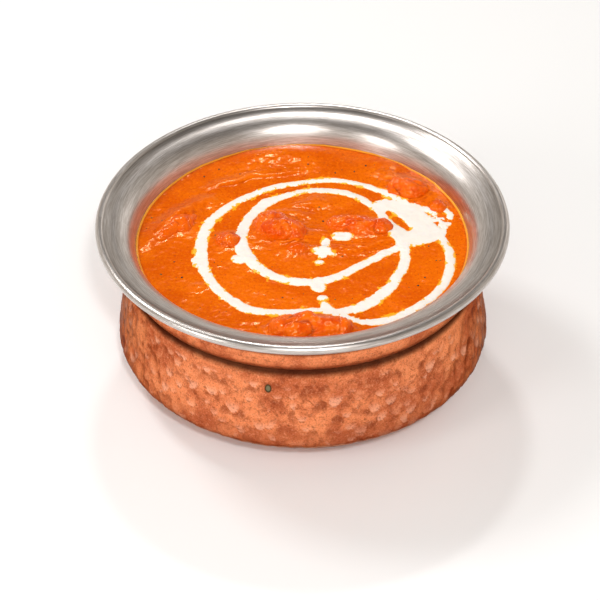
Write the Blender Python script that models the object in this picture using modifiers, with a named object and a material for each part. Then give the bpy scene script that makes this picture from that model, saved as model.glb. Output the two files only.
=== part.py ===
"""Butter chicken curry in a handi: a hammered copper bowl with a steel liner, filled with sauce and chicken.

The part stands on its flat base at z = 0, with its turning axis on +Z. The near side of the serving is -Y.
Named sizes are millimetres, and MM turns them into Blender's metres. A section is a list of points whose x
is the radius and whose y is the height above the base.
"""

import math

import bmesh
import bpy
from mathutils import Vector

MM = 0.001

# Rim and sheet
RIM_RADIUS = 82.5  # outside of the rolled bead
HEIGHT = 71.0  # base to the top of the bead
BEAD_RADIUS = 1.5
LIP_FOOT = 57.2  # the flared lip ends here, just under the sauce, and the rest of the liner starts
SHEET = 1.0  # thickness of the copper and of the steel
GAP = 0.3  # clearance between pieces that touch

# Copper bowl
COPPER_TOP = Vector((71.8, 64.6))
COLLAR_RADIUS = 73.0
COLLAR_HEIGHT = 57.5
NECK_RADIUS = 70.2  # bottom of the groove under the collar
NECK_HEIGHT = 50.0
BELLY_RADIUS = 76.1
BELLY_HEIGHT = 18.5  # where the belly is widest
HEEL_RADIUS = 7.0  # tight turn from the belly to the underside
HEEL_TURN = math.radians(50)

# Filling
SAUCE_LEVEL = 58.8
THROAT_RADIUS = 66.6  # inside of the liner where the sauce meets it
MENISCUS = 0.5  # how far the sauce creeps up the liner

TURN_STEPS = 36  # faces round every turned piece, a multiple of 4 so that its box stays centred
CHUNK_SEGMENTS = 12
CHUNK_RINGS = 7
CHUNK_DEPTH = 0.72  # how deep a chunk lies in the sauce, as a share of its width

# Each piece of chicken: x, y, length, width, height above the sauce, turn in degrees, waists along its length
CHICKEN = {
    "chicken_near": (2.5, -56.8, 37.0, 14.5, 7.0, -1.0, 1),
    "chicken_centre": (-9.0, 7.0, 23.0, 18.0, 7.0, -35.0, 1),
    "chicken_long": (24.0, 8.0, 30.0, 12.0, 4.8, -13.0, 1),
    "chicken_far": (44.5, 33.0, 19.0, 14.0, 5.4, -8.0, 0),
    "chicken_left": (-29.5, -0.5, 12.0, 11.0, 3.4, 20.0, 0),
    "chicken_ridge": (-51.5, 9.0, 25.0, 9.0, 2.8, 45.0, 0),
    "chicken_middle": (-2.2, -6.0, 10.0, 7.0, 2.2, 0.0, 0),
    "chicken_edge": (56.0, 21.5, 8.5, 7.5, 2.8, 60.0, 0),
}


def clear_scene():
    for obj in list(bpy.data.objects):
        bpy.data.objects.remove(obj, do_unlink=True)


def new_collection(name):
    collection = bpy.data.collections.new(name)
    bpy.context.scene.collection.children.link(collection)
    return collection


def new_material(name, color, roughness, metallic):
    material = bpy.data.materials.new(name)
    material.use_nodes = True
    shader = material.node_tree.nodes["Principled BSDF"]
    shader.inputs["Base Color"].default_value = (*color, 1.0)
    shader.inputs["Roughness"].default_value = roughness
    shader.inputs["Metallic"].default_value = metallic
    return material


def arc(centre, radius, start, end, steps):
    """Points on an arc of the section, from start to end in radians above the outward direction."""
    angles = [start + (end - start) * i / steps for i in range(steps + 1)]
    return [centre + Vector((math.cos(a), math.sin(a))) * radius for a in angles]


def inward(section, distance):
    """The section moved towards the inside of the bowl. It runs from the top down."""
    moved = []
    for i, point in enumerate(section):
        along = section[min(i + 1, len(section) - 1)] - section[max(i - 1, 0)]
        moved.append(point + Vector((along.y, -along.x)).normalized() * distance)
    return moved


def copper_outside():
    """The copper's outer side, from its top edge down to the edge of the flat base."""
    wall = [
        COPPER_TOP,
        Vector((72.6, 61.2)),
        Vector((COLLAR_RADIUS, COLLAR_HEIGHT)),
        Vector((72.7, 54.4)),
        Vector((71.3, 51.6)),
        Vector((NECK_RADIUS, NECK_HEIGHT)),
        Vector((71.2, 47.6)),
        Vector((72.4, 42.0)),
        Vector((BELLY_RADIUS - 1.5, 28.5)),
    ]
    heel_centre = Vector((BELLY_RADIUS - HEEL_RADIUS, BELLY_HEIGHT))
    heel = arc(heel_centre, HEEL_RADIUS, math.radians(12), -HEEL_TURN, 4)
    # The underside is one arc that leaves the heel smoothly and meets the ground flat.
    sole_radius = heel[-1].y / (1.0 - math.sin(HEEL_TURN))
    sole_centre = Vector((heel[-1].x - sole_radius * math.cos(HEEL_TURN), sole_radius))
    sole = arc(sole_centre, sole_radius, -HEEL_TURN, -math.pi / 2, 4)
    sole[-1].y = 0.0
    return wall + heel + sole[1:]


def lip_inside():
    """The steel's inner side from the foot of the bead, over the flare and down the throat."""
    return [
        Vector((75.4, 69.4)),
        Vector((72.2, 68.2)),
        Vector((69.9, 66.5)),
        Vector((68.3, 64.2)),
        Vector((67.3, 61.5)),
        Vector((THROAT_RADIUS, SAUCE_LEVEL)),
        Vector((66.35, LIP_FOOT)),
    ]


def liner_inside(copper):
    """The steel's inner side under the throat: it widens until it lies in the copper."""
    neck = [
        Vector((66.3, LIP_FOOT - GAP)),
        Vector((66.3, 55.6)),
        Vector((67.5, 49.6)),
        Vector((69.3, 44.0)),
    ]
    return neck + [p for p in inward(copper, 2 * SHEET + GAP) if p.y < 40.0]


def turned(name, section, material, collection):
    """A closed solid of revolution. The section runs down its outer side, and is a loop if it misses the axis."""
    mesh = bpy.data.meshes.new(name)
    points = [(p.x * MM, 0.0, p.y * MM) for p in section]
    edges = [(i, i + 1) for i in range(len(points) - 1)]
    if section[0].x > 0.0:
        edges.append((len(points) - 1, 0))
    mesh.from_pydata(points, edges, [])
    mesh.materials.append(material)
    obj = bpy.data.objects.new(name, mesh)
    collection.objects.link(obj)
    screw = obj.modifiers.new("Turn", "SCREW")
    screw.axis = "Z"
    screw.steps = TURN_STEPS
    screw.render_steps = TURN_STEPS
    screw.use_merge_vertices = True
    screw.merge_threshold = 0.00001
    return obj


def on_axis(height):
    return Vector((0.0, height))


def make_copper(outside, material, collection):
    inside = inward(outside, SHEET)
    inside[-1].y = SHEET
    section = [on_axis(SHEET), *reversed(inside), *outside, on_axis(0.0)]
    turned("copper_bowl", section, material, collection)


def make_lip(inside, material, collection):
    """The flared lip is a ring of sheet, rolled into a round bead at its edge."""
    bead_centre = Vector((RIM_RADIUS - BEAD_RADIUS, HEIGHT - BEAD_RADIUS))
    bead = arc(bead_centre, BEAD_RADIUS, math.radians(135), math.radians(-135), 6)
    outside = inward(inside, -SHEET)
    outside[-1].y = LIP_FOOT
    turned("steel_lip", [*reversed(inside), *bead, *outside], material, collection)


def make_liner(inside, material, collection):
    """Wall and floor of the liner are one sheet."""
    outside = inward(inside, -SHEET)
    outside[0].y = inside[0].y
    floor = inside[-1].y
    outside[-1].y = floor - SHEET
    section = [on_axis(floor), *reversed(inside), *outside, on_axis(floor - SHEET)]
    turned("steel_liner", section, material, collection)


def make_sauce(steel_inside, material, collection):
    """The sauce fills the liner to its level, and creeps a little up the steel."""
    wall = [p for p in inward(steel_inside, GAP) if p.y < SAUCE_LEVEL - 1.0]
    floor = steel_inside[-1].y + GAP
    wall[-1].y = floor
    brim = THROAT_RADIUS - GAP
    surface = [
        on_axis(SAUCE_LEVEL),
        Vector((brim - 3.0, SAUCE_LEVEL)),
        Vector((brim, SAUCE_LEVEL + MENISCUS)),
    ]
    return turned("curry_sauce", [*surface, *wall, on_axis(floor)], material, collection)


def chunk(name, place, collection, grow=0.0):
    """A lumpy piece of meat: an uneven ball, drawn in a little at its waist, lying half under the sauce."""
    x, y, length, width, rise, turn, waists = place
    depth = width * CHUNK_DEPTH
    half = Vector((length, width, rise + depth)) / 2 + Vector((grow, grow, grow))
    build = bmesh.new()
    bmesh.ops.create_uvsphere(build, u_segments=CHUNK_SEGMENTS, v_segments=CHUNK_RINGS, radius=1.0)
    for vertex in build.verts:
        u, v, w = vertex.co
        lumps = 0.05 * math.sin(5.0 * u + length) * math.cos(4.0 * v + width) + 0.04 * math.sin(6.0 * w + 3.0 * u)
        waist = 0.22 * waists * math.exp(-((u - 0.15) ** 2) / 0.03)
        swell = 1.0 + lumps - waist
        vertex.co = Vector((u * half.x * (1.0 + lumps), v * half.y * swell, w * half.z * swell)) * MM
    mesh = bpy.data.meshes.new(name)
    build.to_mesh(mesh)
    build.free()
    mesh.shade_smooth()
    obj = bpy.data.objects.new(name, mesh)
    obj.location = Vector((x, y, SAUCE_LEVEL + (rise - depth) / 2)) * MM
    obj.rotation_euler.z = math.radians(turn)
    collection.objects.link(obj)
    return obj


def make_chicken(material, collection):
    for name, place in CHICKEN.items():
        chunk(name, place, collection).data.materials.append(material)


def seat_chicken(sauce, cutters):
    """Leaves room in the sauce for every piece of chicken."""
    for name, place in CHICKEN.items():
        cutter = chunk("room_for_" + name, place, cutters, grow=GAP + 0.1)
        cutter.hide_render = True
        cutter.display_type = "WIRE"
        room = sauce.modifiers.new("Room for " + name, "BOOLEAN")
        room.operation = "DIFFERENCE"
        room.object = cutter


def main():
    clear_scene()
    curry = new_collection("butter_chicken_curry")
    cutters = new_collection("cutters")
    copper = new_material("hammered copper", (0.60, 0.20, 0.09), 0.35, 1.0)
    steel = new_material("brushed stainless steel", (0.60, 0.58, 0.55), 0.28, 1.0)
    sauce = new_material("butter chicken sauce", (0.85, 0.14, 0.004), 0.3, 0.0)
    chicken = new_material("chicken in sauce", (0.80, 0.10, 0.01), 0.35, 0.0)

    outside = copper_outside()
    lip = lip_inside()
    liner = liner_inside(outside)
    make_copper(outside, copper, curry)
    make_lip(lip, steel, curry)
    make_liner(liner, steel, curry)
    filling = make_sauce(lip + liner, sauce, curry)
    make_chicken(chicken, curry)
    seat_chicken(filling, cutters)


main()
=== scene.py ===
# %% [markdown]
# # Butter chicken curry in a hammered copper handi
#
# A handi is the round-bellied serving bowl of North Indian cooking. This one is a copper bowl, beaten with a
# hammer, around a liner of stainless steel whose lip flares out and ends in a rolled bead. It is full of
# butter chicken: a smooth tomato and butter sauce with pieces of chicken, under a swirl of cream.
#
# The plain solids of the object are loaded first, as a fixed frame. They say where everything is. Each
# later step then makes one finely modelled piece from them, with a material of its own.

# %% Load the solids as a fixed frame
import math

import bmesh
import bpy
import numpy as np
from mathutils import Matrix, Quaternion, Vector, geometry, noise


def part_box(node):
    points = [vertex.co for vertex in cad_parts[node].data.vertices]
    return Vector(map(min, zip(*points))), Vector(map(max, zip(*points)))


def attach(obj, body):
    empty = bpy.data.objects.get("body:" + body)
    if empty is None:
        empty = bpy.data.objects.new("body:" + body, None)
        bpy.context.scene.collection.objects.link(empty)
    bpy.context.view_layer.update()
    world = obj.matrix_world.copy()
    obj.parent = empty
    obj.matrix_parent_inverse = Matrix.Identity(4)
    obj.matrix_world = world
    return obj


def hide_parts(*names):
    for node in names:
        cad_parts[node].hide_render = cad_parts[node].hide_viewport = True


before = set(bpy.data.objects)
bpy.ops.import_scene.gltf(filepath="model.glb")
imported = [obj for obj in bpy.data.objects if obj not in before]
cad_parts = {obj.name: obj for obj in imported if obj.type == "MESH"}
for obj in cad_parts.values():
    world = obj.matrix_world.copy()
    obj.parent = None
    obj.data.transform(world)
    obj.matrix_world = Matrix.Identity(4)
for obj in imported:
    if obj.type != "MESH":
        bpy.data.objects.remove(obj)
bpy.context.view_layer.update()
BODY = "root"
MM = 0.001
print("nodes:", ", ".join(sorted(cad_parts)))

# %% [markdown]
# ## Small tools
#
# Lengths are in millimetres while a shape is worked out, because that is how a maker thinks of a bowl, and
# they become metres only when a mesh is written. Colours are written as sRGB hex values, which are easy to
# pick by eye. Blender's shaders add up light, so they need the same colours as linear values.


# %% Colours
def linear(hex_color):
    """An sRGB hex colour as the linear RGBA value that a shader takes."""
    channels = [int(hex_color[i : i + 2], 16) / 255 for i in (1, 3, 5)]
    return (*(c / 12.92 if c <= 0.04045 else ((c + 0.055) / 1.055) ** 2.4 for c in channels), 1.0)


print("copper as linear light:", [round(c, 3) for c in linear("#C8683F")])

# %% [markdown]
# A material is a small network. One function adds a node, sets its settings, and fills its sockets with
# either a plain value or a link from another node's output. A texture's scale is worked out from the real
# size of its pattern: a noise with scale 1000 has features about one millimetre wide in a scene in metres.
# Most colours are painted in layers, one over the other, where some value rises or falls.


# %% Material networks
def new_material(name):
    """An empty node tree with one Principled shader wired to the output."""
    material = bpy.data.materials.new(name)
    material.use_nodes = True
    tree = material.node_tree
    return material, tree, tree.nodes["Principled BSDF"]


def add(tree, kind, settings=None, sockets=None):
    """Adds a shader node with its settings. A socket takes a value, or an output of another node."""
    made = tree.nodes.new("ShaderNode" + kind)
    for name, value in (settings or {}).items():
        setattr(made, name, value)
    fill(tree, made, sockets or {})
    return made


def fill(tree, made, sockets):
    """Gives each socket a plain value, or a link from an output of another node."""
    for name, value in sockets.items():
        if isinstance(value, bpy.types.NodeSocket):
            tree.links.new(value, made.inputs[name])
        else:
            made.inputs[name].default_value = value


def per(size_mm):
    """The texture scale at which a pattern's features are this many millimetres wide."""
    return 1.0 / (size_mm * MM)


def blend_colors(tree, factor, first, second):
    """One colour where factor is 0, and the other where it is 1."""
    mixed = add(tree, "Mix", {"data_type": "RGBA"}, {0: factor, 6: first, 7: second})
    return mixed.outputs[2]


def remap(tree, value, low, high, to_low=0.0, to_high=1.0):
    """Stretches the range from low to high into a new range, smoothly and without going past its ends."""
    sockets = {"Value": value, "From Min": low, "From Max": high, "To Min": to_low, "To Max": to_high}
    return add(tree, "MapRange", {"interpolation_type": "SMOOTHSTEP"}, sockets).outputs[0]


def paint(tree, tone, layers):
    """Paints layers over a tone. A layer: a value, where it begins and is full, its strength, a colour."""
    for value, begins, full, strength, shade in layers:
        tone = blend_colors(tree, remap(tree, value, begins, full, 0.0, strength), tone, linear(shade))
    return tone


# %% [markdown]
# A mesh that follows a formula is quickest to make from arrays. The points carry extra numbers where a
# material needs to know something about the shape, such as how near a point of sauce is to the cream.


# %% Meshes from arrays
def new_piece(name, points_mm, faces, material, marks=None):
    """A smooth-shaded mesh object, with one float attribute for each entry of marks."""
    mesh = bpy.data.meshes.new(name)
    mesh.from_pydata((np.asarray(points_mm) * MM).tolist(), [], faces)
    for mark, values in (marks or {}).items():
        mesh.attributes.new(mark, "FLOAT", "POINT").data.foreach_set("value", np.asarray(values, np.float32))
    mesh.materials.append(material)
    mesh.shade_smooth()
    piece = bpy.data.objects.new(name, mesh)
    bpy.context.scene.collection.objects.link(piece)
    return piece


def belongs(piece, slot, *nodes):
    """The piece rides with the bowl and stands for the nodes, whose solids are hidden. The slot is not used.
    """
    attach(piece, BODY)
    if nodes:
        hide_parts(*nodes)
    triangles = sum(len(p.vertices) - 2 for p in piece.data.polygons)
    print(f"{piece.name}: {triangles} triangles")


def fractal(points_mm, size_mm, seed, octaves=3):
    """Soft random heights from -1 to 1, with features about size_mm wide."""
    shift = Vector((seed * 17.3, seed * 5.1, seed * 9.7))
    return np.array([noise.fractal(Vector(p) / size_mm + shift, 1.0, 2.0, octaves) for p in points_mm])


def smoothstep(low, high, value):
    t = np.clip((value - low) / (high - low), 0.0, 1.0)
    return t * t * (3.0 - 2.0 * t)


# %% [markdown]
# ## Reading the bowl's section
#
# The solids are turned on the Z axis in flat steps. The cut through one at y = 0 gives its section, the
# line that a potter or a spinner would work to. Reading it from the frame keeps the fine pieces at
# exactly the size of the solids, and a smooth curve through its points takes the flat steps away.


# %% Sections of the solids
def section(node):
    """The node's points (radius, height) in the half plane y = 0, in order, from the lowest one on."""
    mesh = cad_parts[node].data
    places = {}
    for vertex in mesh.vertices:
        if abs(vertex.co.y) < 0.01 * MM and vertex.co.x > -0.01 * MM:
            places[vertex.index] = (round(vertex.co.x / MM, 2), round(vertex.co.z / MM, 2))
    joined = {place: set() for place in places.values()}
    for edge in mesh.edges:
        a, b = (places.get(i) for i in edge.vertices)
        if a and b and a != b:
            joined[a].add(b)
            joined[b].add(a)
    line = [min(joined, key=lambda p: (p[1], p[0]))]
    while ahead := [p for p in joined[line[-1]] if p not in line]:
        line.append(min(ahead) if len(line) == 1 else ahead[0])
    return np.array(line)


def smooth_line(points, spacing):
    """A curve through the points whose speed follows their distances, cut into steps of about spacing."""
    points = np.asarray(points, float)
    lengths = np.linalg.norm(np.diff(points, axis=0), axis=1)
    times = np.concatenate([[0.0], np.cumsum(lengths)])
    slopes = np.gradient(points, times, axis=0)
    line = [points[0]]
    for i, length in enumerate(lengths):
        steps = max(1, round(length / spacing))
        for t in np.arange(1, steps + 1) / steps:
            keep, swap = 2 * t**3 - 3 * t**2 + 1, 3 * t**2 - 2 * t**3
            leave, arrive = (t**3 - 2 * t**2 + t) * length, (t**3 - t**2) * length
            line.append(keep * points[i] + swap * points[i + 1] + leave * slopes[i] + arrive * slopes[i + 1])
    return np.array(line)


copper_section = section("copper_bowl")[::-1]  # from the inside of the floor up, over, and down outside
liner_section = section("steel_liner")[::-1]
lip_section = section("steel_lip")
print("points in the sections:", len(copper_section), len(lip_section), len(liner_section))


# %% [markdown]
# A turned mesh repeats its section round the axis. A point on the axis closes each end with a flat floor,
# so the body has no hole.


# %% Turned meshes
def turned_mesh(line, columns):
    """Points and faces of a closed body of revolution. Both ends of the line are closed by flat floors."""
    angles = np.arange(columns) * 2 * math.pi / columns
    radii, heights = line[:, :1], line[:, 1:]
    grid = np.stack([radii * np.cos(angles), radii * np.sin(angles), heights + 0 * angles], axis=-1)
    points = np.concatenate([grid.reshape(-1, 3), [[0, 0, line[0][1]], [0, 0, line[-1][1]]]])
    first, last, end = len(points) - 2, len(points) - 1, (len(line) - 1) * columns
    around = [(a, (a + 1) % columns) for a in range(columns)]
    rows = range(0, end, columns)
    faces = [(row + a, row + b, row + columns + b, row + columns + a) for row in rows for a, b in around]
    faces += [(first, b, a) for a, b in around]
    faces += [(end + a, end + b, last) for a, b in around]
    return points, faces


# %% [markdown]
# ## The hammered copper bowl
#
# The smith beats the outside of the bowl with the long face of a hammer. Each blow leaves a shallow oval
# hollow, about 6 mm wide and 10 mm tall. A bump map would look flat at the outline, so the blows are real
# relief. They are laid down in order from the foot to the neck, and each one wipes out what lay under it,
# just as on the anvil. That is why most of them show a whole round lower edge and a cut-off top. The
# collar and the groove under it are spun, not beaten.

# %% Where the hammer fell
BLOW_WIDTH = 6.2
BLOW_HEIGHT = 10.0
BLOW_DEPTH = 0.55
BLOW_OVERLAP = 0.74  # columns of blows are this part of a blow apart, and rows a tenth less
HAMMERED_TOP = 46.0  # just under the groove
HAMMERED_FOOT = 8.0
COPPER_COLUMNS = 640
COPPER_STEP = 0.80
HIDDEN_STEP = 8.0  # along the inside of the copper, which the liner hides

luck = np.random.default_rng(7)
top_edge = int(np.argmax(copper_section[:, 1]))
copper_inside = smooth_line(copper_section[:top_edge], HIDDEN_STEP)
copper_outside = smooth_line(copper_section[top_edge:], COPPER_STEP)
wall_radius = float(copper_section[:, 0].max())
print("copper wall, widest radius in mm:", wall_radius)


def hammer_blows(angles, heights):
    """The relief in mm, a random rub and painted light for each blow, and painted shadow along its lower
    edge.
    """
    relief, tone, edge = np.zeros_like(angles), np.full_like(angles, 0.5), np.zeros_like(angles)
    row_step, turn_step = BLOW_HEIGHT * BLOW_OVERLAP * 0.9, BLOW_WIDTH * BLOW_OVERLAP
    across = int(2 * math.pi * wall_radius / turn_step)
    for height in np.arange(HAMMERED_FOOT, HAMMERED_TOP + 2.0, row_step):
        for column in luck.permutation(across):
            turn = (column + luck.uniform(-0.45, 0.45)) * 2 * math.pi / across
            dx = (np.mod(angles - turn + math.pi, 2 * math.pi) - math.pi) * wall_radius
            dy = heights - height - luck.uniform(-2.8, 2.8)
            dx = dx + luck.uniform(-0.22, 0.22) * dy  # the blow leans a little
            size = luck.uniform(0.68, 1.18)
            reach = (dx / (BLOW_WIDTH / 2 * size)) ** 2 + (dy / (BLOW_HEIGHT / 2 * size)) ** 2
            cover = smoothstep(1.0, 0.66, reach)
            dip = BLOW_DEPTH * size * luck.uniform(0.35, 1.0) * (reach - 1.0)
            relief = relief * (1 - cover) + dip * cover
            crisp = smoothstep(1.0, 0.80, reach)
            foot = np.clip(-dy / (BLOW_HEIGHT / 2 * size), -0.5, 1.0)
            # A random rub, with painted light towards the foot of each blow and painted shade towards its
            # top.
            rub_and_foot_light = luck.uniform(0.15, 0.60) + luck.uniform(0.15, 0.75) * foot
            tone = tone * (1 - crisp) + np.clip(rub_and_foot_light, 0, 1) * crisp
            # A painted shadow runs along the lower edge of each blow.
            edge = edge * (1 - crisp) + 4 * crisp * (1 - crisp) * np.clip(2.0 * foot, 0.0, 1.0)
    return relief, tone, edge


# %% [markdown]
# The blows fade out under the groove and on the turn to the base. The smith's work also leaves the wall
# very slightly out of true, which shows as slow waves in the light on it.


# %% The shell of the copper bowl
WAVE_HEIGHT = 0.12
WAVE_WIDTH = 14.0


def make_copper(material):
    line = np.concatenate([copper_inside, copper_outside])
    points, faces = turned_mesh(line, COPPER_COLUMNS)
    angles, heights = np.arctan2(points[:, 1], points[:, 0]), points[:, 2]
    beaten = smoothstep(HAMMERED_TOP + 1.0, HAMMERED_TOP - 3.0, heights) * smoothstep(3.0, 11.0, heights)
    beaten[: len(copper_inside) * COPPER_COLUMNS] = 0.0
    beaten[-2:] = 0.0
    relief, tone, edge = hammer_blows(angles, heights)
    waves = WAVE_HEIGHT * fractal(points, WAVE_WIDTH, 3, 2)
    out = np.stack([np.cos(angles), np.sin(angles), 0 * angles], axis=-1)
    points = points + out * ((relief + waves) * beaten)[:, None]
    # blow carries the rub and the painted light and shade of each blow; edge carries its painted shadow.
    marks = {"blow": 0.5 + (tone - 0.5) * beaten, "edge": edge * beaten}
    belongs(new_piece("hammered_copper_bowl", points, faces, material, marks), "copper", "copper_bowl")


# %% [markdown]
# Copper that isn't polished is a warm, soft-shining metal. A thin brown oxide lies on it in a fine grain,
# in stains of a few millimetres and in slow patches. Each blow is rubbed more or less bright at random, with
# painted light towards its foot and painted shade towards its top, and a painted shadow along its lower
# edge. The wall darkens towards the base, and a painted highlight runs along the edge where it turns under.
# The groove and the collar close under the lip are painted almost black, as shade. One tiny spot of
# green-grey verdigris sits on the near side.

# %% Copper, hand-beaten and scoured
VERDIGRIS = (-13.5, -71.2, 42.1)  # where the spot lies, in mm
GROOVE_HEIGHT = 49.4
UNDER_LIP = 60.6  # the height at which the painted shade under the lip is darkest
FOOT_EDGE = 14.6  # the height at which the wall turns under

copper_metal, tree, shader = new_material("Hand-beaten copper, scoured and lightly oxidised")
place = add(tree, "TexCoord").outputs["Object"]
height = add(tree, "SeparateXYZ", None, {0: place}).outputs[2]
patches = add(tree, "TexNoise", None, {"Vector": place, "Scale": per(16), "Detail": 5.0, "Roughness": 0.6})
stains = add(tree, "TexNoise", None, {"Vector": place, "Scale": per(3.2), "Detail": 5.0, "Roughness": 0.7})
grain = add(tree, "TexNoise", None, {"Vector": place, "Scale": per(0.7), "Detail": 4.0, "Roughness": 0.75})
blow = add(tree, "Attribute", {"attribute_name": "blow"}).outputs["Fac"]
edge = add(tree, "Attribute", {"attribute_name": "edge"}).outputs["Fac"]
from_groove = add(tree, "Math", {"operation": "SUBTRACT"}, {0: height, 1: GROOVE_HEIGHT * MM}).outputs[0]
from_groove = add(tree, "Math", {"operation": "ABSOLUTE"}, {0: from_groove}).outputs[0]
from_foot = add(tree, "Math", {"operation": "SUBTRACT"}, {0: height, 1: FOOT_EDGE * MM}).outputs[0]
from_foot = add(tree, "Math", {"operation": "ABSOLUTE"}, {0: from_foot}).outputs[0]
spot = add(tree, "VectorMath", {"operation": "SUBTRACT"}, {0: place, 1: [v * MM for v in VERDIGRIS]})
spot = add(tree, "VectorMath", {"operation": "MULTIPLY"}, {0: spot.outputs[0], 1: (1.0, 1.0, 0.7)})
spot = add(tree, "VectorMath", {"operation": "LENGTH"}, {0: spot.outputs[0]}).outputs["Value"]
layers = [
    (patches.outputs["Fac"], 0.40, 0.60, 1.00, "#F4915E"),
    (blow, 0.55, 0.95, 0.80, "#FFB490"),  # where a blow is rubbed most, and painted light towards its foot
    (blow, 0.42, 0.00, 0.60, "#8A3A20"),  # and least, and painted dark towards its top
    # the painted shadow along the lower edge of each blow
    (edge, 0.20, 1.00, 0.60, "#7A341C"),
    (stains.outputs["Fac"], 0.52, 0.66, 0.55, "#94452A"),
    (stains.outputs["Fac"], 0.46, 0.34, 0.40, "#FFA878"),
    (grain.outputs["Fac"], 0.52, 0.72, 0.45, "#F9B88E"),
    (grain.outputs["Fac"], 0.50, 0.32, 0.50, "#74331B"),
    # painted shade in the groove and close under the lip
    (from_groove, 2.9 * MM, 0.2 * MM, 0.90, "#2E0F07"),
    (height, (UNDER_LIP - 2.0) * MM, UNDER_LIP * MM, 0.90, "#2E0F07"),
    (height, 28 * MM, 14 * MM, 0.45, "#94482C"),  # towards the base
    # a painted highlight along the edge where the wall turns under
    (from_foot, 1.0 * MM, 0.2 * MM, 0.50, "#FFC8A4"),
    (spot, 1.6 * MM, 1.1 * MM, 1.00, "#4A3A26"),  # the dark ring of the verdigris
    (spot, 1.1 * MM, 0.6 * MM, 1.00, "#7A7458"),
]
tone = paint(tree, linear("#CA6A42"), layers)
bump = add(tree, "Bump", None, {"Strength": 0.45, "Distance": 0.12 * MM, "Height": grain.outputs["Fac"]})
rough = remap(tree, patches.outputs["Fac"], 0.3, 0.7, 0.44, 0.33)
fill(tree, shader, {"Base Color": tone, "Metallic": 1.0, "Roughness": rough})
fill(tree, shader, {"Specular Tint": linear("#70909C"), "Normal": bump.outputs["Normal"]})
make_copper(copper_metal)

# %% [markdown]
# ## The stainless steel liner
#
# The liner is spun from one sheet over a form, and its edge is rolled round into a bead. Where the lip
# meets the bead there is a fine groove, and painted shade lies in it. The throat narrows over the sauce,
# then the wall goes down inside the copper, where it can't be seen. One closed turned mesh makes all of it.

# %% The section of the liner
BEAD_RADIUS = 1.75
BEAD_SHADE_WIDTH = 0.4  # how far the painted shade spreads from the groove at the bead
LINER_COLUMNS = 320

_, lip_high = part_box("steel_lip")
rim_radius = lip_high.x / MM
rim_height = lip_high.z / MM
bead_centre = np.array([rim_radius - BEAD_RADIUS, rim_height - BEAD_RADIUS])


def bead_point(degrees):
    turn = math.radians(degrees)
    return bead_centre + BEAD_RADIUS * np.array([math.cos(turn), math.sin(turn)])


sheet_points = [p for p in lip_section if p[0] < bead_point(180)[0]]
lip_inside = np.array(sheet_points[: len(sheet_points) // 2])
lip_outside = np.array(sheet_points[len(sheet_points) // 2 :])
liner_top = int(np.argmax(liner_section[:, 1]))
liner_inside = liner_section[: liner_top + 1]
liner_outside = liner_section[liner_top + 1 :]
bead = np.array([bead_point(a) for a in range(152, -149, -10)])  # over the outside and back under
print("rim radius and height in mm:", round(rim_radius, 2), round(rim_height, 2))

# %% [markdown]
# Spun steel is brushed while it turns, so its scratches run round the bowl. They smear every highlight
# across them, which is why a brushed rim shows fans of light. The shader's anisotropy does this, with a
# tangent that follows the turning. The scratches themselves are a noise that is drawn long round the axis.
# They are about 0.4 mm apart here, coarser than real ones, so that they show.

# %% Stainless steel, spun and brushed
SCRATCH_SPACING = 0.4
SCRATCH_SQUEEZE = 0.0030  # metres of noise to a radian, which draws the scratches long

steel, tree, shader = new_material("Stainless steel, spun and brushed")
place = add(tree, "TexCoord").outputs["Object"]
split = add(tree, "SeparateXYZ", None, {0: place})
flat = add(tree, "CombineXYZ", None, {0: split.outputs[0], 1: split.outputs[1], 2: 0.0})
radius = add(tree, "VectorMath", {"operation": "LENGTH"}, {0: flat.outputs[0]}).outputs["Value"]
turn = add(tree, "Math", {"operation": "ARCTAN2"}, {0: split.outputs[1], 1: split.outputs[0]})
slow = add(tree, "Math", {"operation": "MULTIPLY"}, {0: turn.outputs[0], 1: SCRATCH_SQUEEZE})
lines = add(tree, "CombineXYZ", None, {0: radius, 1: slow.outputs[0], 2: split.outputs[2]}).outputs[0]
sockets = {"Vector": lines, "Scale": per(SCRATCH_SPACING), "Detail": 3.0, "Roughness": 0.7}
scratches = add(tree, "TexNoise", None, sockets).outputs["Fac"]
bead_shade = add(tree, "Attribute", {"attribute_name": "bead_shade"}).outputs["Fac"]
tone = paint(tree, linear("#B3AAA3"), [(scratches, 0.3, 0.7, 1.0, "#DDD7D3")])
# painted shade in the groove at the bead
tone = blend_colors(tree, bead_shade, tone, linear("#4A443F"))
bump = add(tree, "Bump", None, {"Strength": 0.10, "Distance": 0.04 * MM, "Height": scratches})
round_axis = add(tree, "Tangent", {"direction_type": "RADIAL", "axis": "Z"})
fill(tree, shader, {"Base Color": tone, "Metallic": 1.0, "Roughness": 0.32})
fill(tree, shader, {"Anisotropic": 0.5, "Anisotropic Rotation": 0.25})
fill(tree, shader, {"Normal": bump.outputs["Normal"], "Tangent": round_axis.outputs["Tangent"]})


def make_liner(material):
    inner = smooth_line(np.concatenate([liner_inside, lip_inside]), 1.0)
    outer = smooth_line(np.concatenate([lip_outside, liner_outside]), 3.0)
    points, faces = turned_mesh(np.concatenate([inner, bead, outer]), LINER_COLUMNS)
    # The groove at the bead gets painted shade, darkest at its middle.
    crease = bead_point(158)
    away = np.hypot(np.hypot(points[:, 0], points[:, 1]) - crease[0], points[:, 2] - crease[1])
    bead_shade = 0.85 * np.exp(-away / BEAD_SHADE_WIDTH)
    piece = new_piece("brushed_steel_liner", points, faces, material, {"bead_shade": bead_shade})
    belongs(piece, "steel", "steel_lip", "steel_liner")


make_liner(steel)

# %% [markdown]
# ## The surface of the sauce
#
# A thick sauce doesn't lie quite flat. It climbs a little at the steel and up every piece of chicken,
# it keeps the marks of the spoon as folds and ripples, and it swells a little over what lies under it. All
# of this is one height formula, so that the cream and the specks can be laid on the same surface later.

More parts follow.
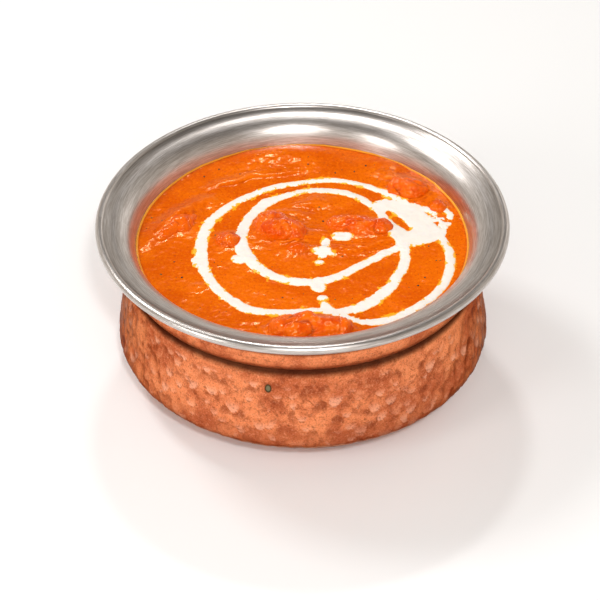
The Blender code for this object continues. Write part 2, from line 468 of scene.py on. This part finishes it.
# %% Heights of the sauce
_, sauce_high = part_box("curry_sauce")
CREEP = 0.5  # how far the solid creeps up the steel at its edge
LEVEL = sauce_high.z / MM - CREEP
throat = [p for p in lip_inside if abs(p[1] - LEVEL) < 0.2][0][0]
BRIM = throat + 0.25  # just into the steel, so that no gap shows
CHICKEN = sorted(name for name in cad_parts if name.startswith("chicken_"))
print("sauce level and brim in mm:", round(LEVEL, 2), round(BRIM, 2))

# Folds left by the spoon: x, y, length, width, height, direction in degrees. The near side is the steep one.
FOLDS = [
    (-53.0, 10.5, 34.0, 7.5, 1.7, 52.0),
    (-46.0, 21.0, 26.0, 5.2, 1.3, 47.0),
    (-30.0, 40.0, 26.0, 4.0, 0.9, 27.0),
    (-14.0, 44.5, 34.0, 4.0, 0.6, 12.0),
    (13.0, -6.5, 26.0, 4.4, 0.9, 2.0),
    (31.0, -3.0, 22.0, 4.0, 1.0, 24.0),
    (41.0, 41.0, 20.0, 5.0, 1.2, -20.0),
    (3.0, 24.0, 16.0, 7.0, 1.3, 4.0),
    (-2.0, 17.0, 12.0, 5.0, 0.9, -20.0),
    (4.0, 1.5, 16.0, 6.0, 1.0, 10.0),
    (-41.0, -31.0, 6.0, 4.0, 0.7, 30.0),
    (-37.0, 25.0, 7.0, 5.0, 0.7, 40.0),
    (0.0, -51.0, 34.0, 6.0, 0.5, 0.0),
]
# Swells over what lies under the sauce: x, y, reach along x and y, height. They die out at the steel.
SWELLS = [
    (-10.0, 61.0, 20.0, 11.0, 2.3),
    (38.0, 53.0, 9.0, 7.0, 1.6),
]
# Patches of fine ripples: x, y, reach along x and y, ripple width, height
RIPPLES = [
    (-12.0, 52.0, 18.0, 8.0, 2.8, 0.25),
    (39.0, 46.0, 9.0, 5.0, 2.4, 0.35),
    (-50.0, 12.0, 13.0, 15.0, 3.6, 0.25),
    (22.0, -6.0, 18.0, 5.0, 2.6, 0.35),
    (0.0, 6.0, 26.0, 18.0, 3.2, 0.30),
    (0.0, 0.0, 80.0, 80.0, 1.6, 0.04),
]
SKIRT_WIDTH = 2.2  # how far out the sauce leans against a piece of chicken
SKIRT_RISE = 0.16  # the part of a piece's height that the sauce climbs
STEEL_RISE = 0.75  # how high the sauce climbs the steel


def waterlines():
    """For each piece of chicken: the outline in which it meets the sauce, and how far it stands up."""
    shores = []
    for name in CHICKEN:
        places = [v.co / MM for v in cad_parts[name].data.vertices]
        near = sorted({(round(p.x, 1), round(p.y, 1)) for p in places if p.z > LEVEL - 2.5})
        hull = [near[i] for i in geometry.convex_hull_2d([Vector(p) for p in near])]
        shores.append((hull, max(p.z for p in places) - LEVEL))
    return shores


WATERLINES = waterlines()


def outline_depth(x, y, outline):
    """How far each place lies inside a closed outline, in mm."""
    nearest = np.full(x.shape, 1e3)
    inside = np.zeros(x.shape, bool)
    for (ax, ay), (bx, by) in zip(outline, outline[1:] + outline[:1]):
        along = ((x - ax) * (bx - ax) + (y - ay) * (by - ay)) / ((bx - ax) ** 2 + (by - ay) ** 2)
        t = np.clip(along, 0.0, 1.0)
        nearest = np.minimum(nearest, np.hypot(x - ax - t * (bx - ax), y - ay - t * (by - ay)))
        if ay != by:
            inside ^= ((ay > y) != (by > y)) & (x < (bx - ax) * (y - ay) / (by - ay) + ax)
    return np.where(inside, nearest, -nearest)


def sauce_height(x, y):
    """Height of the sauce over the base, in mm, at arrays of places."""
    flat = np.stack([x, y, 0 * x], axis=-1)
    warp = fractal(flat, 10.0, 5, 2)
    height = LEVEL + 0.20 * fractal(flat, 9.0, 1) + 0.07 * fractal(flat, 2.2, 2, 2)
    for fx, fy, length, width, rise, degrees in FOLDS:
        turn = math.radians(degrees)
        along = (x - fx) * math.cos(turn) + (y - fy) * math.sin(turn)
        across = (y - fy) * math.cos(turn) - (x - fx) * math.sin(turn) + 1.3 * warp
        reach = np.where(across < 0, 0.36 * width, 0.75 * width)
        height = height + rise * np.exp(-((2 * along / length) ** 2) - (across / reach) ** 2)
    for sx, sy, reach_x, reach_y, rise in SWELLS:
        settled = 1.0 - np.exp(-np.maximum(BRIM - np.hypot(x, y), 0.0) / 3.0)
        height = height + settled * rise * np.exp(-(((x - sx) / reach_x) ** 2) - ((y - sy) / reach_y) ** 2)
    for rx, ry, reach_x, reach_y, width, rise in RIPPLES:
        inside = np.exp(-(((x - rx) / reach_x) ** 2) - ((y - ry) / reach_y) ** 2)
        height = height + rise * inside * fractal(flat * (0.5, 1.0, 1.0), width, 4, 3)
    for hull, rise in WATERLINES:
        away = np.maximum(0.0, -outline_depth(x, y, hull))
        height = height + SKIRT_RISE * rise * np.exp(-away / SKIRT_WIDTH) * (1.0 + 0.4 * warp)
    wall = BRIM - np.hypot(x, y)
    return height + STEEL_RISE * np.exp(-wall / 0.7)


# %% [markdown]
# ## The swirl of cream
#
# Cream is poured from a spoon in loops, starting and ending in a pool at the right. It floats as a layer
# less than a millimetre thick, with a soft round shoulder, and its edge frays where it starts to mix. A
# field describes it: at each place, how far that place lies inside the cream, in millimetres. Strokes and
# drops are distances to lines, the pool is a distance to an outline, and noise frays them.

# %% Strokes, drops and the pool
# A stroke is a list of (x, y, half width) in mm, in the order of pouring.
OUTER_LOOP = [
    (41, 25, 2.0), (36, 29.5, 1.7), (29.5, 34.8, 1.7), (21, 38.9, 1.7), (12, 41, 1.7), (3, 40, 1.7),
    (-14, 35, 1.8), (-28, 25, 2.0), (-38, 11, 2.3), (-40.5, -2, 2.6), (-40.5, -11, 2.8), (-38, -22, 2.3),
    (-30, -36, 2.3), (-21, -44, 2.4),
    (-8, -46.3, 2.0), (5, -45, 1.5), (13, -46.5, 2.0), (20, -51.3, 1.6), (27, -52.3, 2.1), (36, -49, 2.0),
    (45, -42.5, 1.9), (53, -33, 1.9), (58, -20, 2.0), (58.5, -9, 2.0), (56, 1, 1.8),
]  # fmt: skip
INNER_LOOP = [
    (31, 20, 2.0), (25, 27, 2.0), (17, 32, 2.0), (9, 33.7, 2.0), (1, 33, 1.9), (-7, 30, 2.0), (-15, 25, 2.9),
    (-21, 16, 2.4), (-24.5, 6, 2.6), (-24.5, -4, 3.0), (-21, -13, 3.0), (-15, -21, 2.4), (-7, -26, 2.4),
    (3, -27.4, 2.4), (13, -24.5, 2.2), (24, -16, 2.1), (36, -7, 2.1), (46, 0, 2.3),
]  # fmt: skip
CROSSING = [(41, -5, 2.4), (40.5, -14, 2.2), (37, -25, 2.3), (30, -36, 2.8), (21, -44, 2.8), (13, -47, 2.4)]
DRIPS = [
    [(5.5, -28, 2.9), (6.2, -31.0, 3.0)],
    [(7.3, -37.4, 1.9), (7.9, -37.4, 1.9)],
    [(8.2, -41.0, 1.6), (9.5, -45, 3.0)],
    [(-26.6, -12.2, 2.3), (-25, -13, 2.4)],
    [(-42.2, -13.5, 2.3), (-41.0, -16, 2.4)],
    [(14.6, 1.9, 2.8), (17.6, 1.5, 2.6)],
    [(9.2, -1.2, 1.9), (9.0, -4.5, 1.9)],
    [(6.2, -8.2, 2.1), (9.2, -7.8, 2.3)],
    [(9.6, -8.4, 1.5), (12.8, -9.8, 0.7)],
    [(8.2, -6.2, 2.2), (7.6, -10.8, 1.7)],
    [(6.4, -14.8, 1.6), (7.1, -14.8, 1.6)],
]
POOL = [
    (28, 25), (34, 27.5), (41, 26), (48, 23), (53, 20.5), (59, 20.5), (62.3, 16), (60, 9), (57.5, 1),
    (51, -3), (45, -5), (38, -4), (35, 1), (33.5, 6), (31, 14),
]  # fmt: skip
GAPS_IN_POOL = [
    [(35.3, 17.5, 1.2), (39, 12, 2.0), (43, 6.5, 1.0)],
    [(57.0, 15.5, 1.6), (59.5, 12.0, 1.0)],
    [(54.5, 10.5, 0.9), (56.5, 7.0, 0.6)],
    [(50.5, 17.5, 0.4), (53.5, 15.0, 0.9)],
]
# Where the cream has begun to mix in and is broken up: x, y, reach, and how much
BROKEN = [
    (58.0, 13.0, 7.0, 2.6), (48.0, 22.0, 6.0, 1.2), (35.0, 26.0, 6.0, 1.2), (20.0, -50.0, 5.0, 1.4),
    (-26.0, 7.0, 5.0, 1.6), (-18.0, 20.0, 6.0, 1.0), (42.0, -6.0, 6.0, 1.2), (-26.0, -40.0, 6.0, 0.8),
    (8.0, -8.0, 6.0, 0.6), (-2.0, -29.0, 7.0, 0.6), (30.0, -33.0, 7.0, 0.7), (-40.0, -16.0, 8.0, 0.5),
]  # fmt: skip


def stroke_depth(x, y, stroke):
    """How far each place lies inside a stroke, in mm. It is negative outside."""
    line = smooth_line(np.array(stroke, float), 1.5) if len(stroke) > 2 else np.array(stroke, float)
    deepest = np.full(x.shape, -1e3)
    for (ax, ay, aw), (bx, by, bw) in zip(line, line[1:]):
        along = ((x - ax) * (bx - ax) + (y - ay) * (by - ay)) / ((bx - ax) ** 2 + (by - ay) ** 2)
        t = np.clip(along, 0.0, 1.0)
        away = np.hypot(x - ax - t * (bx - ax), y - ay - t * (by - ay))
        deepest = np.maximum(deepest, aw + t * (bw - aw) - away)
    return deepest


def cream_depth(x, y):
    """How far each place lies inside the cream, in mm, with its frayed edge."""
    depth = outline_depth(x, y, POOL)
    for stroke in [OUTER_LOOP, INNER_LOOP, CROSSING, *DRIPS]:
        depth = np.maximum(depth, stroke_depth(x, y, stroke))
    for gap in GAPS_IN_POOL:
        depth = np.minimum(depth, -stroke_depth(x, y, gap))
    flat = np.stack([x, y, 0 * x], axis=-1)
    mixed = smoothstep(0.0, 0.5, fractal(flat, 12.0, 6, 2)) * 0.45
    for bx, by, reach, amount in BROKEN:
        mixed = mixed + amount * np.exp(-((x - bx) ** 2 + (y - by) ** 2) / reach**2)
    coarse, fine = fractal(flat, 3.4, 7, 2), fractal(flat, 1.1, 8, 2)
    near = np.exp(-(np.maximum(np.abs(depth) - 1.5, 0.0) ** 2) * (0.2 + 0.4 * (mixed < 0.8)))
    return depth + near * (0.28 * coarse + 0.08 * fine + mixed * (0.80 * coarse + 0.45 * fine))


# %% [markdown]
# Both the sauce and the cream are grids that get their heights from the formulas. The sauce's grid is a
# square of squares, bent into a disc: each square ring becomes a round ring, which keeps the faces even
# and gives the disc a true round edge.

# %% The body of the sauce
SAUCE_CELLS = 280
SHADE_AT_CHICKEN = 0.07  # counts as this much of a hollow, in mm, in the sauce against a piece


def disc_grid(cells, radius):
    """Places of a square grid bent into a disc, row by row."""
    steps = np.linspace(-1.0, 1.0, cells + 1)
    u, v = np.meshgrid(steps, steps)
    ring = np.maximum(np.abs(u), np.abs(v))
    angle = np.where(
        np.abs(u) >= np.abs(v),
        np.pi / 4 * v / np.where(u == 0, 1, u) + np.where(u < 0, np.pi, 0.0),
        np.pi / 2 - np.pi / 4 * u / np.where(v == 0, 1, v) + np.where(v < 0, np.pi, 0.0),
    )
    return radius * ring * np.cos(angle), radius * ring * np.sin(angle)


def grid_faces(rows, columns):
    return [
        (r * columns + c, r * columns + c + 1, (r + 1) * columns + c + 1, (r + 1) * columns + c)
        for r in range(rows - 1)
        for c in range(columns - 1)
    ]


def border(side):
    """Indices round the edge of a square grid with this many points a side, anticlockwise."""
    south = list(range(side - 1))
    east = [r * side + side - 1 for r in range(side - 1)]
    north = [side * side - 1 - c for c in range(side - 1)]
    west = [(side - 1 - r) * side for r in range(side - 1)]
    return south + east + north + west


def hollows(heights, reach=2):
    """How far each grid point lies below its neighbours, in mm. It is negative on a ridge."""
    around = sum(np.roll(heights, step, axis) for step in (reach, -reach) for axis in (0, 1)) / 4
    lower = around - heights
    lower[:reach], lower[-reach:], lower[:, :reach], lower[:, -reach:] = 0, 0, 0, 0
    return lower


def make_sauce(material):
    """The waved top, closed by a wall that follows the inside of the steel down to its floor."""
    side = SAUCE_CELLS + 1
    x, y = (a.ravel() for a in disc_grid(SAUCE_CELLS, BRIM))
    top = np.stack([x, y, sauce_height(x, y)], axis=-1)
    points, faces = [top], grid_faces(side, side)
    edge = border(side)
    turns = np.arctan2(y[edge], x[edge])
    wall = [p for p in liner_inside[::-1] if p[0] > 20.0]
    upper, start = edge, side * side
    for radius, height in wall:
        ring = np.stack([radius * np.cos(turns), radius * np.sin(turns), height + 0 * turns], axis=-1)
        points.append(ring)
        lower = list(range(start, start + len(edge)))
        start += len(edge)
        for i in range(len(edge)):
            j = (i + 1) % len(edge)
            faces.append((upper[j], upper[i], lower[i], lower[j]))
        upper = lower
    faces.append(tuple(reversed(upper)))
    points = np.concatenate(points)
    cream, crease = np.full(len(points), -9.0), np.zeros(len(points))
    cream[: side * side] = cream_depth(x, y)
    # The crease mark gives painted shade in hollows and against the chicken, and painted highlight on
    # ridges.
    crease[: side * side] = hollows(top[:, 2].reshape(side, side)).ravel()
    for hull, _ in WATERLINES:
        away = -outline_depth(x, y, hull)
        crease[: side * side] += SHADE_AT_CHICKEN * smoothstep(1.8, 0.2, away) * smoothstep(-2.0, -0.5, away)
    marks = {"cream": cream, "crease": crease, "shore": BRIM - np.hypot(points[:, 0], points[:, 1])}
    belongs(new_piece("curry_sauce_surface", points, faces, material, marks), "sauce", "curry_sauce")


# %% [markdown]
# Butter chicken sauce is tomato, cream and butter, blended smooth. It is opaque and a strong orange, with
# a soft gloss from the butter, which tints its highlights. Yellow oil gathers against the steel as a thin
# line, and cream bleeds into the sauce here and there as a yellow fringe. Its hollows and the sauce against
# the chicken are painted deeper and redder, as shade, and its ridges are painted paler, as highlight.
# Ground spices show as dots of a third to half a millimetre: many faint red ones of chilli and some darker
# ones.

# %% Butter sauce, blended and glossy
butter_sauce, tree, shader = new_material("Butter sauce, blended and glossy")
place = add(tree, "TexCoord").outputs["Object"]
clouds = add(tree, "TexNoise", None, {"Vector": place, "Scale": per(16), "Detail": 4.0})
fine = add(tree, "TexNoise", None, {"Vector": place, "Scale": per(1.2), "Detail": 5.0, "Roughness": 0.75})
crease = add(tree, "Attribute", {"attribute_name": "crease"}).outputs["Fac"]
layers = [
    (clouds.outputs["Fac"], 0.38, 0.62, 1.00, "#EC6A04"),
    (fine.outputs["Fac"], 0.52, 0.68, 0.60, "#FA8A0E"),
    (fine.outputs["Fac"], 0.48, 0.32, 0.70, "#BE4202"),
    # painted shade in the hollows and against the chicken
    (crease, 0.01, 0.16, 0.70, "#AE3602"),
    (crease, -0.02, -0.20, 0.55, "#FF9040"),  # painted highlight on a ridge
]
for spacing, radius, strength, shade in [(1.5, 0.16, 0.6, "#A83402"), (3.4, 0.25, 0.7, "#6E2404")]:
    dots = add(tree, "TexVoronoi", None, {"Vector": place, "Scale": per(spacing)})
    layers.append((dots.outputs["Distance"], radius / spacing, 0.5 * radius / spacing, strength, shade))
cream_near = add(tree, "Attribute", {"attribute_name": "cream"}).outputs["Fac"]
bleed = add(tree, "TexNoise", None, {"Vector": place, "Scale": per(5), "Detail": 4.0, "Roughness": 0.7})
bleed = remap(tree, bleed.outputs["Fac"], 0.52, 0.70, 0.0, 1.8)
fringe = add(tree, "Math", {"operation": "ADD"}, {0: cream_near, 1: bleed}).outputs[0]
shore = add(tree, "Attribute", {"attribute_name": "shore"}).outputs["Fac"]
layers += [(fringe, -0.35, 0.45, 0.90, "#FFAE22"), (shore, 1.1, 0.4, 0.85, "#F4AC3C")]
tone = paint(tree, linear("#DF5B02"), layers)
grains = add(tree, "TexNoise", None, {"Vector": place, "Scale": per(1.6), "Detail": 1.0})
bump = add(tree, "Bump", None, {"Strength": 0.35, "Distance": 0.25 * MM, "Height": grains.outputs["Fac"]})
fill(tree, shader, {"Base Color": tone, "Roughness": 0.18, "Normal": bump.outputs["Normal"]})
fill(tree, shader, {"IOR": 1.38, "Specular Tint": linear("#FFB870")})
make_sauce(butter_sauce)

# %% [markdown]
# The cream is cut from an even grid of squares: those inside the field stay. Just outside its edge the
# sheet dives under the sauce, so that the visible edge is the smooth line where the two surfaces cross.

# %% The sheet of cream
CREAM_CELL = 0.33
CREAM_SHOULDER = 0.28  # how far the cream stands above the sauce
CREAM_ROUNDING = 0.45  # how wide its round edge is
CREAM_SHEET = 0.35
CREAM_DIVE = 0.75  # how far outside its edge the sheet goes on, under the sauce


def make_cream(material):
    steps = np.arange(-BRIM, BRIM, CREAM_CELL)
    gx, gy = np.meshgrid(steps, steps)
    depth = cream_depth(gx.ravel(), gy.ravel())
    side = len(steps)
    wet = (depth > -CREAM_DIVE).reshape(side, side)
    cells = wet[:-1, :-1] & wet[1:, :-1] & wet[:-1, 1:] & wet[1:, 1:]
    rows, columns = np.nonzero(cells)
    corners = np.stack([rows * side + columns, rows * side + columns + 1], axis=-1)
    quads = np.concatenate([corners, corners[:, ::-1] + side], axis=-1)
    used, renamed = np.unique(quads, return_inverse=True)
    quads = renamed.reshape(quads.shape)
    x, y, depth = gx.ravel()[used], gy.ravel()[used], depth[used]
    shoulder = CREAM_SHOULDER * (1 - np.exp(-np.maximum(depth, 0) / CREAM_ROUNDING))
    rise = np.where(depth > 0, shoulder, 0.55 * depth)
    top = np.stack([x, y, sauce_height(x, y) + rise], axis=-1)
    cream = new_piece("cream_swirl", top, quads.tolist(), material, {"depth": depth})
    sheet = bmesh.new()
    sheet.from_mesh(cream.data)
    under = bmesh.ops.extrude_face_region(sheet, geom=sheet.faces[:])["geom"]
    lowered = [v for v in under if isinstance(v, bmesh.types.BMVert)]
    bmesh.ops.translate(sheet, verts=lowered, vec=(0, 0, -CREAM_SHEET * MM))
    bmesh.ops.recalc_face_normals(sheet, faces=sheet.faces[:])
    sheet.to_mesh(cream.data)
    sheet.free()
    belongs(cream, "cream")


# %% [markdown]
# Pouring cream is white with a little warmth, and light goes a millimetre or so into it, which softens
# its shading. Where the layer is thin, at its edge and in patches of a few millimetres near it, the yellow
# of the butter shines through.

# %% Pouring cream
pouring_cream, tree, shader = new_material("Pouring cream")
depth = add(tree, "Attribute", {"attribute_name": "depth"}).outputs["Fac"]
place = add(tree, "TexCoord").outputs["Object"]
fine = add(tree, "TexNoise", None, {"Vector": place, "Scale": per(1.1), "Detail": 3.0})
patch = add(tree, "TexNoise", None, {"Vector": place, "Scale": per(5), "Detail": 4.0, "Roughness": 0.7})
patch = remap(tree, patch.outputs["Fac"], 0.50, 0.70, 0.0, 1.3)
broken = add(tree, "Math", {"operation": "SUBTRACT"}, {0: depth, 1: patch}).outputs[0]
broken = add(tree, "Math", {"operation": "SUBTRACT"}, {0: broken, 1: fine.outputs["Fac"]}).outputs[0]
tone = paint(tree, linear("#FFB62C"), [(broken, -0.60, -0.10, 1.0, "#F2EAE1")])
fill(tree, shader, {"Base Color": tone, "Roughness": 0.40, "IOR": 1.35, "Subsurface Weight": 0.2})
fill(tree, shader, {"Subsurface Radius": (1.0, 0.75, 0.45), "Subsurface Scale": 0.5 * MM})
make_cream(pouring_cream)

# %% [markdown]
# ## The chicken
#
# Each piece of chicken is a torn, fibrous lump with sauce clinging to it. The solid gives its place and
# size. A fine voxel remesh turns its flat facets into even small faces, smoothing rounds it, and noises of
# different sizes give it lumps, creases, torn strands and the beads of the sauce on it. What lies deep is
# marked, so that painted shade can darken it.

# %% Pieces of chicken
VOXEL = 0.34
LUMP, CREASE, STRAND, DROP = 1.8, 0.6, 0.50, 0.12  # how far each noise moves the skin, in mm


def make_chicken(name, material):
    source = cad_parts[name]
    mesh = source.data.copy()
    mesh.materials.clear()
    piece = bpy.data.objects.new(name + "_in_sauce", mesh)
    bpy.context.scene.collection.objects.link(piece)
    remesh = piece.modifiers.new("Even faces", "REMESH")
    remesh.mode = "VOXEL"
    remesh.voxel_size = VOXEL * MM
    smooth = piece.modifiers.new("Round off", "SMOOTH")
    smooth.iterations = 10
    evaluated = piece.evaluated_get(bpy.context.evaluated_depsgraph_get())
    fine = bpy.data.meshes.new_from_object(evaluated)
    piece.modifiers.clear()
    piece.data = fine
    points = np.array([v.co for v in fine.vertices]) / MM
    normals = np.array([v.normal for v in fine.vertices])
    big = 0.45 + 0.55 * smoothstep(8.0, 20.0, max(piece.dimensions) / MM)
    lumps = LUMP * big * (fractal(points, 7.5, 11, 1) + 0.25)
    creases = -CREASE * big * np.exp(-np.abs(fractal(points, 8.0, 14, 1)) / 0.07)
    strands = STRAND * big * fractal(points * (0.7, 1.0, 1.2), 2.5, 12, 3)
    beads = DROP * fractal(points, 1.1, 13, 2)
    moved = (points + normals * (lumps + creases + strands + beads)[:, None]) * MM
    fine.vertices.foreach_set("co", moved.ravel())
    # how deep a point lies, for the painted shade in the hollows
    dip = -(lumps + 2 * creases + 2 * strands) / big
    fine.attributes.new("dip", "FLOAT", "POINT").data.foreach_set("value", dip.astype(np.float32))
    fine.materials.append(material)
    fine.shade_smooth()
    fine.update()
    belongs(piece, "chicken", name)


# %% [markdown]
# The chicken was cooked in the sauce, so it has the same orange, but redder where marinade has stained it,
# and painted shade darkens its hollows. The sauce on it is thin and wet, which gives small hard glints.
# Towards the surface of the sauce the colour turns into the colour of the sauce itself: there the coat is
# thickest.

# %% Chicken in a wet coat of sauce
coated_chicken, tree, shader = new_material("Chicken in a wet coat of sauce")
place = add(tree, "TexCoord").outputs["Object"]
height = add(tree, "SeparateXYZ", None, {0: place}).outputs[2]
clouds = add(tree, "TexNoise", None, {"Vector": place, "Scale": per(5), "Detail": 4.0, "Roughness": 0.6})
fine = add(tree, "TexNoise", None, {"Vector": place, "Scale": per(1.1), "Detail": 3.0, "Roughness": 0.7})
dip = add(tree, "Attribute", {"attribute_name": "dip"}).outputs["Fac"]
layers = [
    (clouds.outputs["Fac"], 0.35, 0.62, 1.00, "#F26A0A"),
    (fine.outputs["Fac"], 0.54, 0.75, 0.45, "#FA8424"),
    (height, (LEVEL + 3.5) * MM, (LEVEL + 0.5) * MM, 1.00, "#E65F03"),
    # painted shade in the hollows
    (dip, 0.1, 1.4, 0.80, "#A63402"),
]
tone = paint(tree, linear("#DC4A04"), layers)
beads = add(tree, "TexNoise", None, {"Vector": place, "Scale": per(2.2), "Detail": 1.0})
bump = add(tree, "Bump", None, {"Strength": 0.3, "Distance": 0.25 * MM, "Height": beads.outputs["Fac"]})
fill(tree, shader, {"Base Color": tone, "Roughness": 0.15, "Normal": bump.outputs["Normal"]})
fill(tree, shader, {"IOR": 1.43, "Specular Tint": linear("#FFD2A4")})
fill(tree, shader, {"Subsurface Weight": 0.06, "Subsurface Scale": 1.0 * MM})
fill(tree, shader, {"Subsurface Radius": (1.0, 0.25, 0.05)})
for name in CHICKEN:
    make_chicken(name, coated_chicken)

# %% [markdown]
# ## Pepper and fenugreek
#
# A few flecks of coarse black pepper and of crushed dried fenugreek leaf float on the sauce. They are
# about a millimetre across or less, but real: little uneven stones, and thin uneven flakes, half sunk. All
# flecks of a kind are one mesh.

# %% Flecks on the sauce
# The coarse grains of pepper that stand out: x, y in mm
PEPPER_PLACES = [
    (-41, 44), (-35, 49), (2.6, 51.5), (27, 51), (8.5, 12), (-51, -14), (-47.5, -24), (45, -30), (48, -25),
    (-26, 45), (14, 46), (53, -14), (50.5, -5), (-8, -37), (22, 47),
]  # fmt: skip
PEPPER_COUNT = 60
LEAF_COUNT = 12


def scattered_places(count):
    """Random places on the sauce, clear of the cream and of the steel."""
    places = []
    while len(places) < count:
        turn, away = luck.uniform(0, 2 * math.pi), (BRIM - 3.0) * math.sqrt(luck.uniform(0, 1))
        x, y = away * math.cos(turn), away * math.sin(turn)
        if cream_depth(np.array([x]), np.array([y]))[0] < -0.6:
            places.append((x, y))
    return places


def float_flecks(name, places, size_range, flatness, material):
    """Uneven little bodies half sunk in the sauce, as one mesh."""
    points, faces = [], []
    for x, y in places:
        spot_x, spot_y = np.array([float(x)]), np.array([float(y)])
        _, size = luck.uniform(*size_range, 2) / 2  # the second of two draws
        seed = bmesh.new()
        bmesh.ops.create_icosphere(seed, subdivisions=1, radius=size)
        spin = luck.uniform(0, math.pi)
        z = sauce_height(spot_x, spot_y)[0]
        for vertex in seed.verts:
            vertex.co = vertex.co * luck.uniform(0.75, 1.25)
            vertex.co.y *= luck.uniform(0.55, 0.9)
            vertex.co.z *= flatness
        start = len(points)
        seed.verts.index_update()
        for vertex in seed.verts:
            px, py, pz = vertex.co
            across = px * math.cos(spin) - py * math.sin(spin)
            along = px * math.sin(spin) + py * math.cos(spin)
            points.append((x + across, y + along, z + pz + 0.03))
        faces += [tuple(start + v.index for v in face.verts) for face in seed.faces]
        seed.free()
    belongs(new_piece(name, points, faces, material), "sauce")


# %% Ground pepper and dried leaf
pepper, tree, shader = new_material("Cracked black pepper")
place = add(tree, "TexCoord").outputs["Object"]
fine = add(tree, "TexNoise", None, {"Vector": place, "Scale": per(0.4), "Detail": 2.0})
tone = blend_colors(tree, fine.outputs["Fac"], linear("#1E130C"), linear("#5A3A20"))
fill(tree, shader, {"Base Color": tone, "Roughness": 0.6})
float_flecks("coarse_pepper", PEPPER_PLACES, (0.85, 1.15), 0.7, pepper)
float_flecks("fine_pepper", scattered_places(PEPPER_COUNT), (0.3, 0.55), 0.7, pepper)

dried_leaf, tree, shader = new_material("Crushed dried fenugreek leaf")
place = add(tree, "TexCoord").outputs["Object"]
fine = add(tree, "TexNoise", None, {"Vector": place, "Scale": per(0.5), "Detail": 2.0})
tone = blend_colors(tree, fine.outputs["Fac"], linear("#3E3A12"), linear("#7A6A24"))
fill(tree, shader, {"Base Color": tone, "Roughness": 0.7})
float_flecks("fenugreek_flecks", scattered_places(LEAF_COUNT), (0.6, 1.1), 0.25, dried_leaf)

# %% [markdown]
# ## Table, light and camera
#
# The bowl stands on white paper. A big soft box in front draws the bright lines on the bead and the fan on
# the back of the lip, and the bulb in it gives the hard glints on the wet chicken. A lamp behind on the
# left makes the second fan, a low box on the left lights the copper, and a card behind on the right fills
# the left of the lip. A small window behind lays a sheen on the swells of the sauce. The room is grey,
# lighter towards the horizon and dark overhead, so the metal has something to reflect everywhere. A black
# card stands behind, where the level sauce mirrors it, which keeps the orange pure.

# %% The table
TABLE_SIZE = 12.0

table = bpy.data.objects.new("table", bpy.data.meshes.new("table"))
square = bmesh.new()
bmesh.ops.create_grid(square, x_segments=1, y_segments=1, size=TABLE_SIZE / 2)
square.to_mesh(table.data)
square.free()
bpy.context.scene.collection.objects.link(table)
paper, tree, shader = new_material("Matt white paper")
fill(tree, shader, {"Base Color": linear("#F8F8F8"), "Roughness": 0.9})
table.data.materials.append(paper)

# %% Soft boxes
# Each box: name, direction from the bowl, distance, width, height in metres, power in watts, colour
SOFT_BOXES = [
    ("front soft box", (0.08, -0.72, 0.67), 1.30, 0.80, 0.80, 3.9, "#FFFFFF"),
    ("bulb in the front box", (0.08, -0.70, 0.69), 1.25, 0.08, 0.08, 5.0, "#FFFFFF"),
    ("back left lamp", (-0.50, 0.38, 0.78), 1.30, 0.32, 0.32, 4.8, "#FFFFFF"),
    ("low left box", (-0.72, -0.55, 0.42), 1.20, 0.35, 0.50, 3.0, "#FFFFFF"),
    ("back right card", (0.50, 0.75, 0.38), 1.40, 0.50, 0.45, 0.5, "#FFFFFF"),
    ("far window", (-0.03, 0.57, 0.82), 1.20, 0.12, 0.06, 2.8, "#FFFFFF"),
]
for name, direction, distance, width, height, power, color in SOFT_BOXES:
    light = bpy.data.lights.new(name, "AREA")
    light.shape = "RECTANGLE"
    light.size, light.size_y = width, height
    light.energy = power
    light.color = linear(color)[:3]
    lamp = bpy.data.objects.new(name, light)
    aim = Vector(direction).normalized()
    lamp.location = aim * distance + Vector((0, 0, LEVEL * MM))
    lamp.rotation_euler = aim.to_track_quat("Z", "Y").to_euler()
    bpy.context.scene.collection.objects.link(lamp)
print("soft boxes:", len(SOFT_BOXES))

# %% The room
BLACK_FLAG = (0.0, 0.788, 0.616)  # the direction, from the bowl, of a black card
ROOM_BRIGHTNESS = 1.25

world = bpy.data.worlds.new("soft grey room")
world.use_nodes = True
tree = world.node_tree
sky = tree.nodes["Background"]
facing = add(tree, "TexCoord").outputs["Generated"]
upward = add(tree, "SeparateXYZ", None, {0: facing})
mirrored = add(tree, "VectorMath", {"operation": "DOT_PRODUCT"}, {0: facing, 1: BLACK_FLAG})
layers = [
    (upward.outputs[2], 0.0, 0.55, 1.0, "#A8A29A"),
    (upward.outputs[2], 0.62, 0.90, 1.0, "#5E5A56"),
    (mirrored.outputs["Value"], 0.94, 0.985, 1.0, "#1C1A18"),
]
shade = paint(tree, linear("#D6D0C8"), layers)
fill(tree, sky, {"Color": shade, "Strength": ROOM_BRIGHTNESS})
bpy.context.scene.world = world

# %% [markdown]
# The camera looks down at the bowl from about 80 cm away, through a long lens that keeps the ellipses of
# the rim nearly true. The colours are shown as they are, without a film look.

# %% The camera
LOOK_AT = Vector((-0.00115, 0.0, 0.0276))
ELEVATION = math.radians(39.02)
DISTANCE = 0.8117
ROLL = math.radians(-0.35)
FOCAL_LENGTH = 118.1

lens = bpy.data.cameras.new("camera")
lens.sensor_width = 36.0
lens.lens = FOCAL_LENGTH
camera = bpy.data.objects.new("camera", lens)
back = Vector((0.0, -math.cos(ELEVATION), math.sin(ELEVATION)))
camera.location = LOOK_AT + back * DISTANCE
camera.rotation_mode = "QUATERNION"
camera.rotation_quaternion = back.to_track_quat("Z", "Y") @ Quaternion((0.0, 0.0, 1.0), ROLL)
bpy.context.scene.collection.objects.link(camera)
bpy.context.scene.camera = camera
bpy.context.scene.view_settings.view_transform = "Standard"
